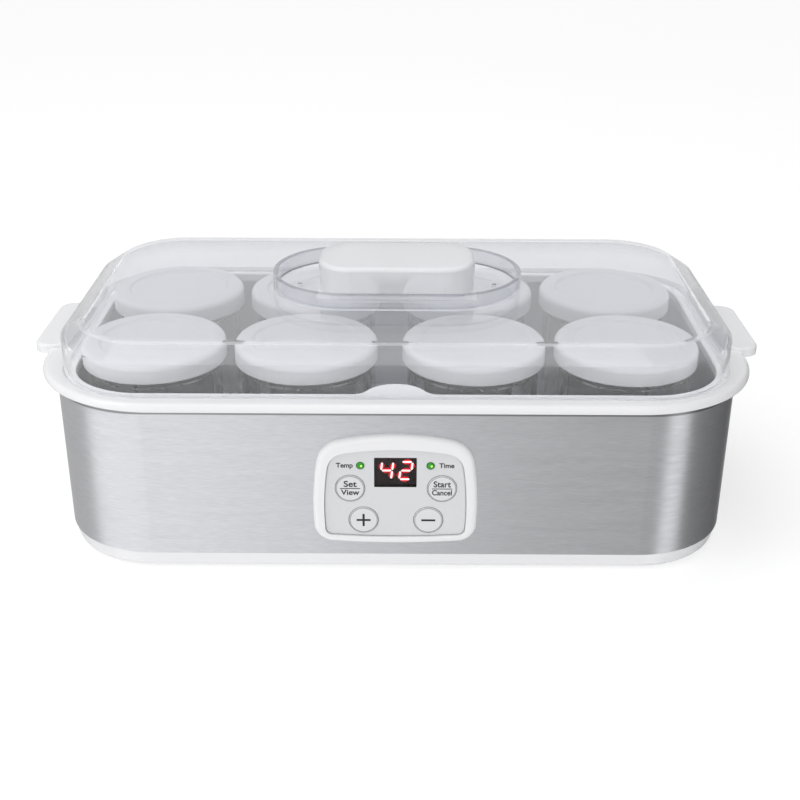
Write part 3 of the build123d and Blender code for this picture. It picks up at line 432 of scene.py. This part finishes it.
def label(text, centre_x, centre_z, height, width, y_front):
    """A short generic word as raised ink, fitted to a width, centred at (x, z) and facing the user."""
    curve = bpy.data.curves.new("label", "FONT")
    curve.body = text
    curve.size = height
    curve.align_x = "CENTER"
    curve.align_y = "CENTER"
    curve.extrude = INK_THICK / 2
    curve.offset = INK_BOLD
    curve.resolution_u = 4
    holder = new_object("label", curve)
    mesh = bpy.data.meshes.new_from_object(holder.evaluated_get(bpy.context.evaluated_depsgraph_get()))
    bpy.data.objects.remove(holder)
    across = [v.co.x for v in mesh.vertices]
    middle = Matrix.Translation((centre_x, y_front + INK_THICK / 2, centre_z))
    squeeze = Matrix.Diagonal((width / (max(across) - min(across)), 1, 1, 1))
    mesh.transform(middle @ Matrix.Rotation(math.pi / 2, 4, "X") @ squeeze)
    return mesh


def bar(x, z, half_x, half_z):
    """The outline of an upright rectangle in (x, z)."""
    left, right, low, high = x - half_x, x + half_x, z - half_z, z + half_z
    return [(left, low), (right, low), (right, high), (left, high)]


def key_marks():
    """Ring, words or sign printed on each key."""
    for key in ("set_button", "start_button", "plus_button", "minus_button"):
        low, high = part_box(key)
        x, z = face_middle(low, high)
        y = low[1] - INK_OUT
        ring_mesh = ring(x, z, KEY_RING_R, KEY_RING_WIDTH, y, INK_THICK)
        finish_piece(key + "_ring", ring_mesh, GREY_INK, key)
        if key in KEY_WORDS:
            for (row, up, letters), (word, width) in zip(KEY_ROWS, KEY_WORDS[key]):
                word_mesh = label(word, x, z + up, letters, width, y)
                finish_piece(f"{key}_{row}", word_mesh, INK, key)
            bars = [bar(x, z, RULE_LONG, RULE_WIDE)]
        else:
            bars = [bar(x, z, SIGN_LONG, SIGN_WIDE)]
            if key == "plus_button":
                bars += [bar(x, z, SIGN_WIDE, SIGN_LONG)]
        for n, outline in enumerate(bars):
            mesh = plate(outline, y - n * SIGN_STEP, INK_THICK)
            finish_piece(f"{key}_bar_{n}", mesh, INK, key)


def panel_marks():
    """Beside each lamp its word, around it a dark ring, and on it a bright spot."""
    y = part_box("panel_overlay")[0][1] - INK_OUT
    for lamp, (word, offset, width) in LAMP_WORDS.items():
        low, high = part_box(lamp)
        x, z = face_middle(low, high)
        word_mesh = label(word, x + offset, z, LAMP_LETTERS, width, y)
        finish_piece(lamp + "_word", word_mesh, INK, "housing")
        ring_mesh = ring(x, z, LAMP_RING_R, LAMP_RING_WIDTH, y, INK_THICK)
        finish_piece(lamp + "_ring", ring_mesh, GREEN_DARK, "housing")
        spot_x, spot_z, spot_y = x + SPOT_RIGHT, z + SPOT_UP, low[1] - SPOT_OUT
        spot_mesh = ring(spot_x, spot_z, SPOT_HOLE_R, SPOT_WIDTH, spot_y, SPOT_THICK, steps=24)
        finish_piece(lamp + "_spot", spot_mesh, LAMP_SPOT, "housing")


# each layer of a digit's light, from the back to the front: the width of its bars, how far they stand
# before the display, and its material
DIGIT_LAYERS = (
    ("halo", 3.0 * MM, 0.035 * MM, glowing("digit_halo", (0.20, 0.0, 0.004), 0.8)),
    ("glow", 1.9 * MM, 0.085 * MM, glowing("digit_glow", (0.75, 0.0, 0.02), 1.1)),
    ("bar", 0.80 * MM, 0.145 * MM, glowing("digit_bar", (1.0, 0.72, 0.70), 1.5)),
)
# the digits, with the distance of their left side to the right of the window's middle
DIGITS = (("4", -7.0 * MM), ("2", 1.7 * MM))
DIGIT_WIDE, DIGIT_TALL, DIGIT_SLANT = 5.0 * MM, 8.8 * MM, 0.12
# height of a digit's foot above the window's lower edge
DIGIT_FOOT = 3.5 * MM
# which of the seven bars, a to g, each digit lights
DIGIT_BARS = {"4": "bcfg", "2": "abdeg"}
# the two ends of each bar, counted in digit widths and in half digit heights from the lower left corner
BAR_ENDS = {
    "a": ((0, 2), (1, 2)), "b": ((1, 2), (1, 1)), "c": ((1, 1), (1, 0)), "d": ((1, 0), (0, 0)),
    "e": ((0, 0), (0, 1)), "f": ((0, 1), (0, 2)), "g": ((0, 1), (1, 1)),
}
# how much a bar is cut back at each end, its thickness, and how far each stands before the last one
BAR_CUT, BAR_THICK, BAR_STEP = 0.3 * MM, 0.03 * MM, 0.004 * MM


def digit_outline(bar_name, left, bottom, thick):
    """One bar of a slanted seven-bar digit as a six-sided outline in (x, z)."""
    (u0, v0), (u1, v1) = BAR_ENDS[bar_name]
    start = Vector((left + u0 * DIGIT_WIDE, bottom + v0 * DIGIT_TALL / 2))
    end = Vector((left + u1 * DIGIT_WIDE, bottom + v1 * DIGIT_TALL / 2))
    along = (end - start).normalized()
    across = Vector((-along.y, along.x)) * thick / 2
    start, end = start + along * BAR_CUT, end - along * BAR_CUT
    tip = along * thick / 2
    upper = [start, start + tip + across, end - tip + across]
    lower = [end, end - tip - across, start + tip - across]
    return [(c.x + DIGIT_SLANT * (c.y - bottom), c.y) for c in upper + lower]


def display_digits():
    """Red digits that show through the smoked window."""
    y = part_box("display_module")[0][1]
    low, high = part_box("display_window")
    middle = face_middle(low, high)[0]
    bottom = low[2] + DIGIT_FOOT
    for n, (digit, offset) in enumerate(DIGITS):
        for name, wide_bar, ahead, material in DIGIT_LAYERS:
            for k, bar_name in enumerate(DIGIT_BARS[digit]):
                outline = digit_outline(bar_name, middle + offset, bottom, wide_bar)
                mesh = plate(outline, y - ahead - k * BAR_STEP, BAR_THICK)
                finish_piece(f"digit_{n}_{name}_{k}", mesh, material, "housing")


# ---------------------------------------------------------------- floor and light
# half the floor's width, then the round wall's radius, number of sides and heights of its rings, in metres
FLOOR_HALF, WALL_R, WALL_SIDES, WALL_HEIGHTS = 5.0, 4.6, 64, (0.0, 1.5, 3.0, 4.5)


def pale(name, grey, glow):
    """A plain pale surface that gives off light of its own."""
    material, nodes, links, shader = new_material(name)
    cloud = noise(nodes, links, scale=3)
    tone = vary_colour(nodes, links, cloud, (grey, grey, grey), spread=0.01)
    links.new(tone, shader.inputs["Base Color"])
    shader.inputs["Roughness"].default_value = 0.6
    shader.inputs["Emission Color"].default_value = (1, 1, 1, 1)
    shader.inputs["Emission Strength"].default_value = glow
    return material


def add_stage(name, shape, material):
    """A piece of the surroundings, which doesn't show in glossy surfaces."""
    mesh = mesh_of(name, shape)
    mesh.materials.append(material)
    stage = new_object(name, mesh)
    stage.visible_glossy = False
    return stage


def add_floor():
    """A pale floor, and a far round white wall that lights nothing and casts no shadow."""
    shape = bmesh.new()
    bmesh.ops.create_grid(shape, x_segments=8, y_segments=8, size=FLOOR_HALF)
    add_stage("floor", shape, pale("floor", grey=0.62, glow=0.46))
    shape = bmesh.new()
    angles = [2 * math.pi * k / WALL_SIDES for k in range(WALL_SIDES)]
    loops = [
        [shape.verts.new((WALL_R * math.cos(a), WALL_R * math.sin(a), z)) for a in angles]
        for z in WALL_HEIGHTS
    ]
    for low, high in zip(loops, loops[1:]):
        for k in range(WALL_SIDES):
            shape.faces.new((low[k - 1], low[k], high[k], high[k - 1]))
    wall = add_stage("far_wall", shape, pale("far_wall", grey=0.0, glow=1.0))
    wall.visible_diffuse = False
    wall.visible_shadow = False


# brightness of the studio's walls by direction, in degrees from -Y, where the panel faces, towards +X
WALL_TONES = (
    (-180, 0.62), (-140, 0.56), (-84, 0.62), (-77, 1.18), (-12, 1.12), (-6, 0.98), (5, 0.59), (10, 0.48),
    (33, 0.43), (38, 1.15), (57, 1.05), (61, 0.30), (100, 0.20), (138, 0.12), (150, 0.50), (180, 0.62),
)
# brightness of the ceiling at its left and right ends, and how far a direction leans left or right there
CEILING_LEFT, CEILING_RIGHT, CEILING_REACH = 0.98, 0.70, 0.7
# how steeply a direction points up where the walls end and where the ceiling is full
CEILING_FROM, CEILING_FULL = 0.35, 0.75


def add_world():
    """A studio: bright at the left front and in a strip at the right front, dim on the right, pale above."""
    world = bpy.data.worlds.new("studio")
    world.use_nodes = True
    bpy.context.scene.world = world
    nodes, links = world.node_tree.nodes, world.node_tree.links
    x, y, z = place(nodes, links, "Generated")
    angle = calculate(nodes, links, "ARCTAN2", x, calculate(nodes, links, "MULTIPLY", y, -1.0))
    tones = nodes.new("ShaderNodeValToRGB")
    stops = tones.color_ramp.elements
    for n, (degrees, tone) in enumerate(WALL_TONES):
        position = (degrees + 180) / 360
        # a new ramp comes with two stops
        stop = stops[n] if n < 2 else stops.new(position)
        stop.position = position
        stop.color = (tone, tone, tone, 1)
    links.new(between(nodes, links, angle, -math.pi, math.pi), tones.inputs["Fac"])
    ceiling = between(nodes, links, x, -CEILING_REACH, CEILING_REACH, CEILING_LEFT, CEILING_RIGHT)
    height = between(nodes, links, z, CEILING_FROM, CEILING_FULL)
    sky = blend(nodes, links, height, tones.outputs["Color"], ceiling)
    links.new(sky, nodes["Background"].inputs["Color"])


# each lamp's name, its two sides in metres, its watts and its place, and the point that all of them face
LAMPS = (
    ("key_lamp", (0.35, 0.3), 0.9, (-0.60, -0.25, 0.75)),
    ("top_lamp", (0.9, 0.7), 1.8, (-0.12, -0.10, 1.0)),
    ("front_lamp", (1.2, 0.35), 0.7, (-0.15, -1.0, 0.40)),
)
LAMP_AIM = (0, 0, 0.08)


def add_lamps():
    """Three soft lamps: above the left front corner, overhead, and low in front."""
    for name, size, power, position in LAMPS:
        data = bpy.data.lights.new(name, "AREA")
        data.shape = "RECTANGLE"
        data.size, data.size_y = size
        data.energy = power
        lamp = new_object(name, data)
        direction = Vector(LAMP_AIM) - Vector(position)
        turn = direction.to_track_quat("-Z", "Y").to_matrix().to_4x4()
        lamp.matrix_world = Matrix.Translation(position) @ turn


add_camera()
dress_frame()
key_marks()
panel_marks()
display_digits()
add_floor()
add_world()
add_lamps()
bpy.context.scene.view_settings.view_transform = "Standard"
